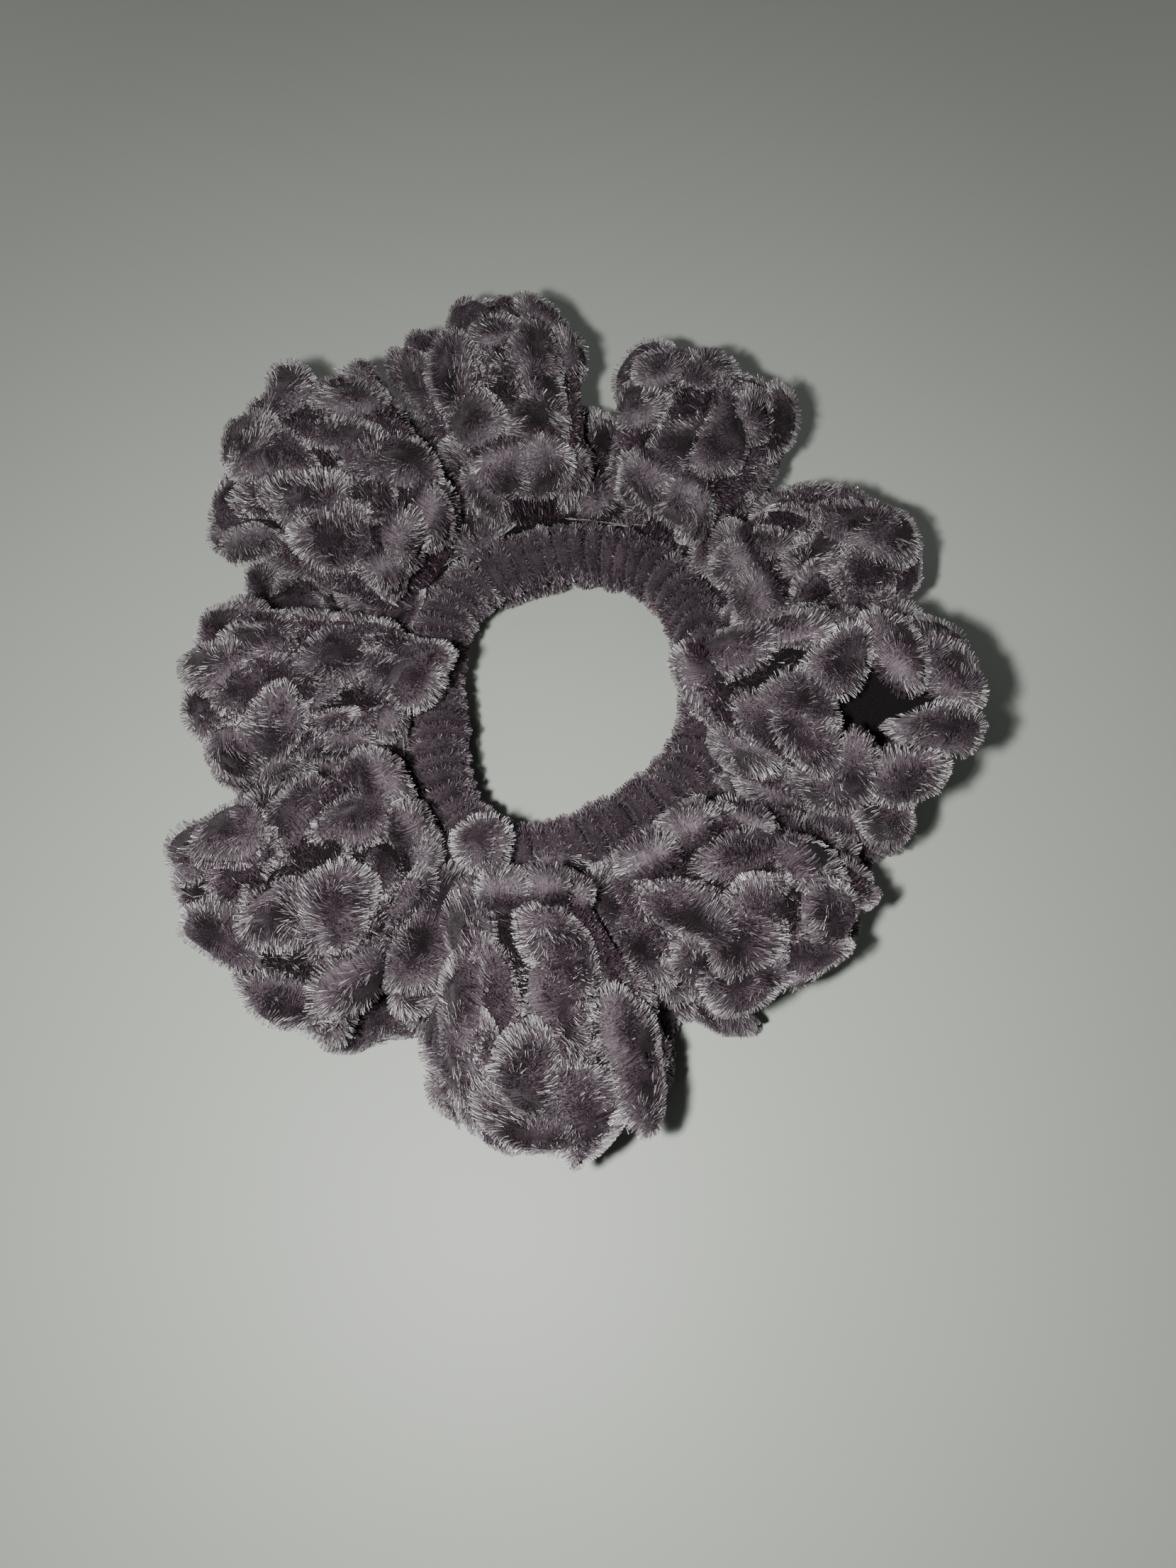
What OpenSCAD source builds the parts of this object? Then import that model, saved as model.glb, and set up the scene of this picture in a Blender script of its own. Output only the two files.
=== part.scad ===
// Crocheted scrunchie: a round hair elastic, covered by one round of single
// crochet, with a ruffle of chenille yarn worked in two more rounds and gathered
// into nine folds. The yarn and the elastic are divided into nine sections,
// one per fold, that move apart as the elastic stretches, and a short closing
// piece where each round is joined.
// The origin is under the middle of the plan, on the surface it lies on.

/* [Ring] */
// Mean radius of the opening that the hair goes through
opening_r = 17; // [16:0.5:18]
// Height of the elastic's centre line
ring_z = 14; // [13:0.5:15]
// Radius of the round of single crochet that covers the elastic
cover_r = 4.6; // [4.2:0.1:4.9]
// How deep the grooves between the stitches of the cover are
stitch_groove = 0.5; // [0.2:0.1:0.7]
// Radius of the elastic, over its braided jacket
jacket_r = 2.3; // [2:0.1:2.6]
// Radius of the elastic's rubber core
core_r = 1.5; // [1.2:0.1:1.6]

/* [Ruffle] */
// Thickness of the crocheted fabric where it meets the cover
fabric_inner_t = 4.4; // [4:0.2:4.8]
// Thickness of the crocheted fabric at its outer edge
fabric_outer_t = 6.2; // [5:0.2:6.6]
// How far each fold leans over its neck, as a share of half its pitch
overhang = 0.32; // [0.1:0.02:0.34]
// How much wider the folds are than the valleys, as a share of half the pitch
fullness = 0.09; // [0:0.01:0.1]
// Share of the ruffle's width over which the folds rise from the ring
rise_share = 0.2; // [0.18:0.01:0.3]
// How far the fabric is pressed flat where it lies on the table
foot_press = 0.5; // [0:0.1:0.8]
// Share of the ruffle's width that the first of its two rounds takes up
first_round_share = 0.46; // [0.4:0.02:0.55]

/* [Joins] */
// Length of the closing piece along the ring
join_length = 5; // [4:0.5:6]
// Radius of the bonded joint in the elastic
bond_r = 2.5; // [2.3:0.1:2.7]
// Radius of a knot in the yarn
knot_r = 2; // [1.6:0.1:2.2]
// Radius of a woven-in yarn tail
tail_r = 1.1; // [0.8:0.1:1.2]

/* [Hidden] */
// Middle of the opening, seen from the middle of the plan
opening_centre = [1.1, -0.7];
// The nine folds, counter-clockwise from +X. Each row holds the fold's azimuth
// on the ring, its azimuth and reach at its tip, the height of its top, the
// share of that height that its tip droops by, and how far its top leans over
// the ring. Angles are about the opening.
FOLDS = [
    [35, 27, 54, 28, 0.30, 4],
    [63, 66, 59, 30, 0.30, 4],
    [100, 103, 65, 31, 0.30, 4],
    [139, 134, 64, 32, 0.28, 6],
    [180, 180, 52, 29, 0.25, 12],
    [221, 221, 61, 30, 0.28, 5],
    [256, 269, 62, 30, 0.30, 3],
    [293, 308, 52, 31, 0.25, 1],
    [345, 350, 51, 38, 0.10, 16]
];
// The valleys before each fold: azimuth on the ring, azimuth and reach outside
VALLEYS = [
    [10, 15, 48],
    [48, 47, 47],
    [81, 86, 53],
    [119, 120, 60],
    [159, 163, 51],
    [201, 199, 50],
    [239, 245, 50],
    [270, 288, 46],
    [319, 328, 47]
];
COUNT = len(FOLDS);
// Valley that the rounds are closed in, counted from 1
JOIN_VALLEY = 3;
// Clear distance between solids that move apart, and between fixed ones
moving_gap = 0.6;
fixed_gap = 0.2;
// Steps of the fabric across a fold and along each of its rounds
ACROSS = 18;
ALONG = 3;
// Sides of the cover's and the elastic's cross-sections
COVER_SIDES = 12;
ELASTIC_SIDES = 10;
// Stitches of the cover in each section
STITCHES = 6;
// Small step for slopes
delta = 0.01;
yarn = [0.44, 0.37, 0.42];
yarn_dark = [0.33, 0.26, 0.31];
rubber = [0.12, 0.11, 0.12];
braid = [0.25, 0.22, 0.25];

// ---- Plan of the ring and the ruffle ----

function polar(a, r) = [r * cos(a), r * sin(a)];
function smooth(x) = let (c = min(1, max(0, x))) c * c * (3 - 2 * c);
function unit(p) = p / norm(p);

// The opening is a soft egg: its radius swells to the top and to the lower left
function opening_edge(a) = opening_r * (1 + 0.10 * cos(a - 112)
    + 0.124 * cos(2 * (a - 76)) + 0.053 * cos(3 * (a - 1)) + 0.045 * cos(4 * (a + 32)));
function ring_r(a) = opening_edge(a) + cover_r + 0.3;
function ring_point(a) = let (p = opening_centre + polar(a, ring_r(a))) [p[0], p[1], ring_z];
function ring_along(a) = unit(ring_point(a + 1) - ring_point(a - 1));
function degrees_for(length, a) = length / ring_r(a) * 180 / PI;

function fold(k) = FOLDS[k - 1];
function valley(k) = k > COUNT ? VALLEYS[0] + [360, 360, 0] : VALLEYS[k - 1];

// Smooth value across a fold: x runs from -1 at one valley to 1 at the next
function across(before, middle, after, x) =
    middle + x * (after - before) / 2 + x * x * ((after + before) / 2 - middle);

function ring_azimuth(k, x) = across(valley(k)[0], fold(k)[0], valley(k + 1)[0], x);
function outer_azimuth(k, x) = across(valley(k)[1], fold(k)[1], valley(k + 1)[1], x);
function reach(k, x) =
    let (notch = x < 0 ? valley(k)[2] : valley(k + 1)[2])
    notch + (fold(k)[2] - notch) * (1 - x * x);

// ---- Middle surface of the ruffle ----
// phi runs from -180 in one valley, over the fold's top at 0, to 180 in the
// next valley, and v from 0 at the ring to 1 at the outer edge.

function thickness(v) = fabric_inner_t + (fabric_outer_t - fabric_inner_t) * v;
function full_wave(c) = c * (1.25 - 0.25 * c * c);

// Place across the fold: the two sine terms make the walls lean over the neck
function lateral(phi, v) =
    (phi / 180 + smooth(v / 0.28) * overhang * sin(2 * phi) + smooth(v / 0.35) * fullness * sin(phi))
    * (1 - moving_gap / 2 / (7 + 9 * v));

// Height of the wave, from -1 in a valley to 1 on a fold
function lift(phi, v) = smooth(v / rise_share) * full_wave(cos(phi));

// Place in plan, where lean is how far the point has moved in over the ring
function plan(k, x, v, lean) =
    let (a = ring_azimuth(k, x),
         inner = polar(a, ring_r(a) + cover_r + moving_gap - lean),
         outer = polar(outer_azimuth(k, x), reach(k, x) - fabric_outer_t / 3))
    opening_centre + inner + (outer - inner) * v;

function middle(k, phi, v) =
    let (h = lift(phi, v),
         droop = 1 - fold(k)[4] * smooth((v - 0.7) / 0.3),
         up = (fold(k)[3] - fabric_outer_t / 2 - ring_z) * droop,
         down = ring_z - thickness(v) / 2 + foot_press,
         p = plan(k, lateral(phi, v), v, fold(k)[5] * pow(max(0, h), 2)))
    [p[0], p[1], ring_z + h * (h > 0 ? up : down)];

function facing(k, phi, v) =
    unit(cross(middle(k, phi, v + delta) - middle(k, phi, v - delta),
               middle(k, phi + 1, v) - middle(k, phi - 1, v)));

// Horizontal direction across the fold at a place on it
function crosswise(k, phi) =
    let (x = lateral(phi, 1), g = unit(plan(k, x, 1, 0) - plan(k, x, 0, 0))) [-g[1], g[0], 0];

// The facing direction, turned to lie along the valley in the bottom of a valley,
// so that two sections meet there without crossing
function offset_dir(k, phi, v) =
    let (n = facing(k, phi, v), c = crosswise(k, phi))
    n - c * (n * c) * smooth((abs(phi) - 140) / 40);

// Point of the fabric, on its outer side (side = 1) or its inner side (-1).
// The underside is flat where it lies on the table.
function fabric(k, phi, v, side) =
    let (p = middle(k, phi, v) + side * thickness(v) / 2 * offset_dir(k, phi, v))
    [p[0], p[1], max(0, p[2])];

// ---- Closed skins ----

// A closed patch of fabric over a grid of rows by columns, doubled for thickness
module patch(points, rows, cols) {
    function at(r, c, s) = (s * rows + r) * cols + c;
    faces = concat(
        [for (r = [0:rows - 2], c = [0:cols - 2])
            each [[at(r, c, 0), at(r + 1, c + 1, 0), at(r + 1, c, 0)],
                  [at(r, c, 0), at(r, c + 1, 0), at(r + 1, c + 1, 0)],
                  [at(r, c, 1), at(r + 1, c, 1), at(r + 1, c + 1, 1)],
                  [at(r, c, 1), at(r + 1, c + 1, 1), at(r, c + 1, 1)]]],
        [for (r = [0:rows - 2], c = [0, cols - 1])
            let (a = at(r, c, 0), b = at(r + 1, c, 0), d = at(r, c, 1), e = at(r + 1, c, 1))
            each c == 0 ? [[a, e, d], [a, b, e]] : [[a, d, e], [a, e, b]]],
        [for (c = [0:cols - 2], r = [0, rows - 1])
            let (a = at(r, c, 0), b = at(r, c + 1, 0), d = at(r, c, 1), e = at(r, c + 1, 1))
            each r == 0 ? [[a, d, e], [a, e, b]] : [[a, e, d], [a, b, e]]]);
    polyhedron(points, faces);
}

// One crochet round of the ruffle, from v0 to v1, over fold k
module fabric_round(k, v0, v1) {
    points = [for (side = [1, -1], j = [0:ALONG], i = [0:ACROSS])
        fabric(k, -180 + 360 * i / ACROSS, v0 + (v1 - v0) * j / ALONG, side)];
    patch(points, ALONG + 1, ACROSS + 1);
}

// A point of a tube round the ring: turn is the angle round the tube, from
// outwards and upwards
function round_ring(a, turn, r) =
    let (t = ring_along(a), out = [t[1], -t[0], 0])
    ring_point(a) + r * (cos(turn) * out + sin(turn) * [0, 0, 1]);

// A tube between two azimuths, solid if inner is 0. radii gives the outer
// radius at each of its rings.
module ring_tube(a0, a1, radii, inner, sides) {
    rings = len(radii);
    function turn(i) = 360 * i / sides;
    function azimuth(j) = a0 + (a1 - a0) * j / (rings - 1);
    function at(s, j, i) = (s * rings + j) * sides + i % sides;
    skins = inner > 0 ? [0, 1] : [0];
    points = [for (s = skins, j = [0:rings - 1], i = [0:sides - 1])
        round_ring(azimuth(j), turn(i), s == 0 ? radii[j] : inner)];
    outer_faces = [for (j = [0:rings - 2], i = [0:sides - 1])
        each [[at(0, j, i), at(0, j + 1, i + 1), at(0, j + 1, i)],
              [at(0, j, i), at(0, j, i + 1), at(0, j + 1, i + 1)]]];
    inner_faces = inner > 0 ? [for (j = [0:rings - 2], i = [0:sides - 1])
        each [[at(1, j, i), at(1, j + 1, i), at(1, j + 1, i + 1)],
              [at(1, j, i), at(1, j + 1, i + 1), at(1, j, i + 1)]]] : [];
    last = rings - 1;
    annuli = inner > 0 ? [for (i = [0:sides - 1])
        each [[at(0, 0, i), at(1, 0, i + 1), at(0, 0, i + 1)],
              [at(0, 0, i), at(1, 0, i), at(1, 0, i + 1)],
              [at(0, last, i), at(0, last, i + 1), at(1, last, i + 1)],
              [at(0, last, i), at(1, last, i + 1), at(1, last, i)]]] :
        [[for (i = [sides - 1:-1:0]) at(0, 0, i)],
         [for (i = [0:sides - 1]) at(0, last, i)]];
    polyhedron(points, concat(outer_faces, inner_faces, annuli));
}

// Where section k's part of the ring starts and ends
function section_start(k) = let (a = valley(k)[0])
    a + degrees_for(k == JOIN_VALLEY ? join_length / 2 + moving_gap : moving_gap / 2, a);
function section_end(k) = let (a = valley(k + 1)[0])
    a - degrees_for(k + 1 == JOIN_VALLEY ? join_length / 2 + moving_gap : moving_gap / 2, a);

// ---- The hair elastic ----

module elastic_core(k)
    color(rubber)
        ring_tube(section_start(k), section_end(k), [for (j = [0:5]) core_r], 0, ELASTIC_SIDES);

module elastic_jacket(k)
    color(braid)
        ring_tube(section_start(k), section_end(k), [for (j = [0:5]) jacket_r],
                  core_r + fixed_gap, ELASTIC_SIDES);

// Bonded joint that makes the elastic a ring
module elastic_bond() {
    half = degrees_for(join_length / 2, valley(JOIN_VALLEY)[0]);
    mid = valley(JOIN_VALLEY)[0];
    color(rubber) ring_tube(mid - half, mid + half, [for (j = [0:2]) bond_r], 0, ELASTIC_SIDES);
}

// ---- The round of single crochet over the elastic ----

module cover_stitches(k)
    color(yarn_dark)
        ring_tube(section_start(k), section_end(k),
                  [for (j = [0:2 * STITCHES]) cover_r - (j % 2 == 0 ? stitch_groove : 0)],
                  jacket_r + fixed_gap, COVER_SIDES);

// Slip stitch that closes the round
module join_stitch() {
    half = degrees_for(join_length / 2, valley(JOIN_VALLEY)[0]);
    mid = valley(JOIN_VALLEY)[0];
    color(yarn_dark)
        ring_tube(mid - half, mid + half,
                  [for (j = [0:4]) cover_r - (j % 2 == 0 ? stitch_groove : 0)],
                  bond_r + fixed_gap, COVER_SIDES);
}

// ---- The ruffle ----

module ruffle_first_round(k)
    color(yarn) fabric_round(k, 0, first_round_share - 0.003);

module ruffle_edge_round(k)
    color(yarn) fabric_round(k, first_round_share + 0.003, 1);

// ---- Knots and tails under the join ----

// A knot drawn tight: a flattened ball, on which the strand's turns stand out
module knot(along) {
    rings = 8;
    sides = 16;
    function bulge(up, turn) =
        let (r = knot_r * (0.86 + 0.14 * sin(up) * cos(3 * turn + 2 * up)))
        [r * sin(up) * cos(turn), r * sin(up) * sin(turn), 0.58 * r * cos(up)];
    points = [
        for (j = [1:rings], i = [0:sides - 1]) bulge(180 * j / (rings + 1), 360 * i / sides),
        bulge(0, 0), bulge(180, 0)];
    top = rings * sides;
    faces = concat(
        [for (j = [0:rings - 2], i = [0:sides - 1])
            let (n = (i + 1) % sides, a = j * sides, b = a + sides)
            each [[a + i, a + n, b + n], [a + i, b + n, b + i]]],
        [for (i = [0:sides - 1]) [top, (i + 1) % sides, i]],
        [for (i = [0:sides - 1])
            [top + 1, top - sides + i, top - sides + (i + 1) % sides]]);
    color(yarn_dark)
        translate(ring_point(valley(JOIN_VALLEY)[0] + degrees_for(along, valley(JOIN_VALLEY)[0]))
                  - [0, 0, cover_r + knot_r / 2 + moving_gap])
            polyhedron(points, faces);
}

module start_knot() knot(2.2);
module fasten_off_knot() knot(-2.2);

// A yarn end, woven along under the cover of the section after the join
module tail(offset, length) {
    a0 = valley(JOIN_VALLEY)[0] + degrees_for(5.2, valley(JOIN_VALLEY)[0]);
    steps = 7;
    sides = 8;
    points = [for (j = [0:steps], i = [0:sides - 1])
        let (a = a0 + degrees_for(length, a0) * j / steps,
             t = ring_along(a),
             out = [t[1], -t[0], 0],
             end = j == 0 || j == steps ? 0.6 : 1,
             turn = 360 * i / sides)
        ring_point(a) + out * offset - [0, 0, cover_r + tail_r + fixed_gap]
            + tail_r * end * (cos(turn) * out + sin(turn) * [0, 0, 1])];
    faces = concat(
        [for (j = [0:steps - 1], i = [0:sides - 1])
            let (n = (i + 1) % sides)
            each [[j * sides + i, (j + 1) * sides + n, (j + 1) * sides + i],
                  [j * sides + i, j * sides + n, (j + 1) * sides + n]]],
        [[for (i = [sides - 1:-1:0]) i], [for (i = [0:sides - 1]) steps * sides + i]]);
    color(yarn_dark) polyhedron(points, faces);
}

module start_tail() tail(-1.4, 12);
module end_tail() tail(1.4, 12);

for (k = [1:COUNT]) {
    elastic_core(k);
    elastic_jacket(k);
    cover_stitches(k);
    ruffle_first_round(k);
    ruffle_edge_round(k);
}
elastic_bond();
join_stitch();
start_knot();
fasten_off_knot();
start_tail();
end_tail();
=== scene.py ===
import bpy
import numpy as np
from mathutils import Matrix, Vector


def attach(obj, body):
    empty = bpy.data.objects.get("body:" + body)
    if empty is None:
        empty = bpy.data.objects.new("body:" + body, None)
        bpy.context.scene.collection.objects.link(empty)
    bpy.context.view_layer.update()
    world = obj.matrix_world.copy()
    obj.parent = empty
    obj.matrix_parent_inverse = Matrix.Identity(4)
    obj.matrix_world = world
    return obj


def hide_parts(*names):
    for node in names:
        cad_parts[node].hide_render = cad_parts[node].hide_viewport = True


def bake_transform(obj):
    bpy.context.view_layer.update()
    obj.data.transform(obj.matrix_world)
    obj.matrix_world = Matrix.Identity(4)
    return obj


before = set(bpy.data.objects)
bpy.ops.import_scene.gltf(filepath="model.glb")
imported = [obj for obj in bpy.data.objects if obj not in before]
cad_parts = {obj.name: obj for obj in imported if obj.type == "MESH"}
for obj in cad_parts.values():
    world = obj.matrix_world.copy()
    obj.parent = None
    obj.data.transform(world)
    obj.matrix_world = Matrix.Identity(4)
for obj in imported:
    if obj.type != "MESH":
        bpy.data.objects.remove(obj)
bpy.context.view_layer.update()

# A crocheted scrunchie of plush chenille yarn. The shapes below are worked out in
# millimetres, in the frame of the CAD model, and go into Blender in metres.
MM = 0.001
rng = np.random.default_rng(20)

# ---------------------------------------------------------------- design values
OPENING_R = 17.0          # mean radius of the opening
RING_Z = 14.0             # height of the elastic's centre line
COVER_R = 4.6             # radius of the crocheted cover
JACKET_R = 2.3            # radius of the elastic's braided jacket
CORE_R = 1.5              # radius of its rubber core
FABRIC_INNER_T = 4.4      # thickness of the ruffle at the ring
FABRIC_OUTER_T = 6.2      # and at its edge
OVERHANG = 0.34           # how far the folds lean over their necks
FULLNESS = 0.11           # how much wider the folds are than the valleys
RISE_SHARE = 0.2          # share of the width over which the folds rise
FOOT_PRESS = 0.5          # how far the fabric is pressed flat on the table
GAP = 0.6                 # between sections
CENTRE = np.array([1.1, -0.7])
SECTIONS = 9
JOIN_VALLEY = 3
OPEN_FOLD = 9             # the tall fold, with a hollow in its top
PIT_AT = (-12.0, 0.78)    # phi and v of the middle of that hollow
PIT_PHI = 19.0            # its half width in phi
PIT_V = 0.16              # its half width in v
PIT_DEPTH = 15.0
ROSETTE_FOLD = 7          # the fold with a little round stitch at its inner end
ROSETTE_AT = (-9.9, -24.7, 22.5)
EDGE_ROLL = 3.0           # radius with which the ruffle's outer edge rolls over
TABLE_CLEARANCE = 0.06    # nothing comes nearer to the table
# azimuth on the ring, azimuth and reach at the tip, top, droop, lean over the ring
FOLDS = [
    (35, 27, 54, 28, 0.30, 4), (63, 66, 59, 30, 0.30, 4), (100, 103, 65, 31, 0.30, 4),
    (139, 134, 64, 32, 0.28, 6), (180, 180, 52, 29, 0.25, 12), (221, 221, 61, 30, 0.28, 5),
    (256, 269, 62, 30, 0.30, 3), (293, 308, 52, 31, 0.25, 1), (345, 350, 51, 38, 0.10, 16),
]
# azimuth on the ring, azimuth and reach outside
VALLEYS = [
    (10, 15, 48), (48, 47, 47), (81, 86, 53), (119, 120, 60), (159, 163, 51),
    (201, 199, 50), (239, 245, 50), (270, 288, 46), (319, 328, 47),
]
# how the stitches of each fold lie: turn from the fold's own direction, its sign
# changing from one column to the next where the last value is -1, and their length
HABITS = [
    (0.45, -1, 1.0), (0.20, -1, 1.1), (0.30, -1, 1.0), (0.45, 1, 1.15), (0.40, -1, 1.0),
    (0.50, -1, 1.0), (0.15, -1, 1.25), (0.60, -1, 1.1), (0.45, -1, 1.05),
]


# ---------------------------------------------------------------- the ruffle's surface
def cosd(a):
    return np.cos(np.radians(a))


def sind(a):
    return np.sin(np.radians(a))


def smooth(x):
    c = np.clip(x, 0, 1)
    return c * c * (3 - 2 * c)


def unit(v):
    return v / np.maximum(np.linalg.norm(v, axis=-1, keepdims=True), 1e-9)


def polar(a, r):
    return np.stack([r * cosd(a), r * sind(a)], -1)


def ring_r(a):
    """Distance of the elastic's centre line from the middle of the opening."""
    swell = (0.10 * cosd(a - 112) + 0.124 * cosd(2 * (a - 76))
             + 0.053 * cosd(3 * (a - 1)) + 0.045 * cosd(4 * (a + 32)))
    return OPENING_R * (1 + swell) + COVER_R + 0.3


def fold_values(k):
    """Rows of the valley before fold k, the fold and the valley after it."""
    before = np.array(VALLEYS[k - 1], float)
    after = np.array(VALLEYS[k % SECTIONS], float)
    if k == SECTIONS:
        after[:2] += 360
    return before, np.array(FOLDS[k - 1], float), after


def across(before, middle, after, x):
    return middle + x * (after - before) / 2 + x * x * ((after + before) / 2 - middle)


def thickness(v):
    return FABRIC_INNER_T + (FABRIC_OUTER_T - FABRIC_INNER_T) * v


def lateral(phi, v):
    wave = phi / 180 + smooth(v / 0.28) * OVERHANG * sind(2 * phi)
    return (wave + smooth(v / 0.35) * FULLNESS * sind(phi)) * (1 - GAP / 2 / (7 + 9 * v))


def plan(k, x, v, lean):
    before, fold, after = fold_values(k)
    a = across(before[0], fold[0], after[0], x)
    inner = polar(a, ring_r(a) + COVER_R + GAP - lean)
    notch = np.where(x < 0, before[2], after[2])
    reach = notch + (fold[2] - notch) * (1 - x * x)
    outer = polar(across(before[1], fold[1], after[1], x), reach - FABRIC_OUTER_T / 3)
    return CENTRE + inner + (outer - inner) * v[..., None]


def wander(k, phi, v):
    """Slow unevenness of a fold, in millimetres: outwards and up. None in the valleys."""
    room = cosd(phi / 2) ** 2 * smooth(v / 0.3)
    out = np.sin(0.055 * phi + 2.9 * k) + 0.7 * np.sin(0.11 * phi - 1.3 * k)
    up = np.sin(0.045 * phi + 1.7 * k + 6 * v) + 0.8 * np.sin(0.08 * phi - 2.3 * k - 9 * v)
    return room * out * 0.9 * smooth(v), room * up * 0.9


def from_pit(phi, v):
    """Distance from the middle of the open fold's hollow, in its half widths."""
    return np.hypot((phi - PIT_AT[0]) / PIT_PHI, (v - PIT_AT[1]) / PIT_V)


def middle(k, phi, v, pit=False):
    """Point of the ruffle's middle surface. phi crosses the fold from valley (-180)
    to valley (180), and v goes from the ring (0) to the outer edge (1). The open
    fold's hollow is cut only where pit is true."""
    c = cosd(phi)
    h = smooth(v / RISE_SHARE) * c * (1.25 - 0.25 * c * c)
    fold = fold_values(k)[1]
    droop = 1 - fold[4] * smooth((v - 0.7) / 0.3)
    up = (fold[3] - FABRIC_OUTER_T / 2 - RING_Z) * droop
    down = RING_Z - thickness(v) / 2 + FOOT_PRESS
    p = plan(k, lateral(phi, v), v, fold[5] * np.maximum(0, h) ** 2)
    out, rise = wander(k, phi, v)
    if pit and k == OPEN_FOLD:
        rise = rise - PIT_DEPTH * np.exp(-from_pit(phi, v) ** 2)
    p = p + unit(p - CENTRE) * out[..., None]
    z = RING_Z + h * np.where(h > 0, up, down) + rise
    return np.concatenate([p, z[..., None]], -1)


def slopes(k, phi, v, pit=False):
    """Directions along phi and v, per unit of each, and the outward normal."""
    along_phi = (middle(k, phi + 1, v, pit) - middle(k, phi - 1, v, pit)) / 2
    along_v = (middle(k, phi, v + 0.01, pit) - middle(k, phi, v - 0.01, pit)) / 0.02
    return along_phi, along_v, unit(np.cross(along_v, along_phi))


def place(k, phi, v, height, pit=False):
    """Point at a height over the middle surface, on its outer side if positive. Past
    the outer edge the surface rolls over with the radius EDGE_ROLL."""
    inside = np.minimum(v, 1.0)
    _, along_v, n = slopes(k, phi, inside, pit)
    out = unit(along_v)
    side = np.sign(height) + (height == 0)
    angle = np.clip((v - inside) * np.linalg.norm(along_v, axis=-1) / EDGE_ROLL, 0, 2.4)
    turn_s, turn_c = np.sin(angle)[..., None], np.cos(angle)[..., None]
    n2 = n * turn_c + out * turn_s * side[..., None]
    return middle(k, phi, inside, pit) + n2 * height[..., None]


# ---------------------------------------------------------------- meshes
def new_object(name, points, faces, material_ids=None, materials=(), smooth_shade=True, values=None):
    """A mesh object from points in millimetres and faces of one size."""
    mesh = bpy.data.meshes.new(name)
    faces = np.asarray(faces, np.int32)
    corners = faces.shape[1]
    mesh.vertices.add(len(points))
    mesh.vertices.foreach_set("co", (np.asarray(points, float) * MM).ravel())
    mesh.loops.add(faces.size)
    mesh.loops.foreach_set("vertex_index", faces.ravel())
    mesh.polygons.add(len(faces))
    mesh.polygons.foreach_set("loop_start", np.arange(0, faces.size, corners, dtype=np.int32))
    mesh.polygons.foreach_set("loop_total", np.full(len(faces), corners, np.int32))
    for m in materials:
        mesh.materials.append(m)
    if material_ids is not None:
        mesh.polygons.foreach_set("material_index", np.asarray(material_ids, np.int32))
    mesh.polygons.foreach_set("use_smooth", np.full(len(faces), smooth_shade))
    for key, data in (values or {}).items():
        layer = mesh.attributes.new(key, "FLOAT", "POINT")
        layer.data.foreach_set("value", np.asarray(data, np.float32).ravel())
    mesh.update()
    mesh.validate()
    obj = bpy.data.objects.new(name, mesh)
    bpy.context.scene.collection.objects.link(obj)
    return obj


def grid_faces(rows, cols, wrap=False):
    """Quads of a grid of rows by cols points; the columns may close on themselves."""
    r = np.arange(rows - 1)[:, None]
    c = np.arange(cols if wrap else cols - 1)[None, :]
    d = (c + 1) % cols
    return np.stack([r * cols + c, r * cols + d, (r + 1) * cols + d, (r + 1) * cols + c], -1).reshape(-1, 4)


class Fabric:
    """Collects stitches, and the pile on them, for one piece of the scrunchie."""

    def __init__(self):
        self.points, self.faces, self.edge, self.shade = [], [], [], []
        self.along, self.round = [], []
        self.roots, self.tips, self.widths, self.tones = [], [], [], []
        self.count = 0

    def add(self, points, faces, edge, shade, along, around):
        self.points.append(points)
        self.faces.append(faces + self.count)
        self.edge.append(edge)
        self.shade.append(np.full(len(points), shade))
        self.along.append(along)
        self.round.append(around)
        self.count += len(points)

    def add_pile(self, roots, tips, widths, tones):
        self.roots.append(roots)
        self.tips.append(tips)
        self.widths.append(widths)
        self.tones.append(tones)


# ---------------------------------------------------------------- stitches of yarn
RINGS = 9                 # points of a stitch from its top to its foot
SPOKES = 20               # and round it
PILE_AREA = 66            # a usual stitch's length times its width
THETA = np.radians(np.linspace(7, 165, RINGS))[:, None]
TURN = np.linspace(0, 2 * np.pi, SPOKES, endpoint=False)[None, :]


def stitch_faces():
    """Quads of a closed stitch, its top and foot closed by strips."""
    last = (RINGS - 1) * SPOKES
    caps = []
    for i in range(SPOKES // 2 - 1):
        strip = np.array([i, i + 1, SPOKES - 2 - i, SPOKES - 1 - i])
        caps.append(strip[::-1])
        caps.append(strip + last)
    return np.concatenate([grid_faces(RINGS, SPOKES, wrap=True), np.array(caps)])


STITCH_FACES = stitch_faces()


class Outline:
    """Shape of one stitch seen from above: an uneven leaf, a little bent."""

    def __init__(self, length, width):
        self.length, self.width = length, width
        self.waves = [(n, amp * rng.uniform(0.4, 1.3), rng.uniform(0, 6.28))
                      for n, amp in ((2, 0.07), (3, 0.08), (5, 0.04), (8, 0.025))]
        self.taper = rng.uniform(0.05, 0.3)
        self.bend = rng.normal(0, 0.028)

    def flat(self, theta, turn):
        """Sideways place of a point, along the yarn and across it."""
        wobble = 1 + sum(amp * np.sin(n * turn + start) for n, amp, start in self.waves)
        r = np.sin(theta) ** 0.85 * wobble
        a = self.length / 2 * r * np.cos(turn)
        b = self.width / 2 * r * np.sin(turn) * (1 - self.taper * np.cos(turn))
        return a, b + self.bend * a * a


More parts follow.
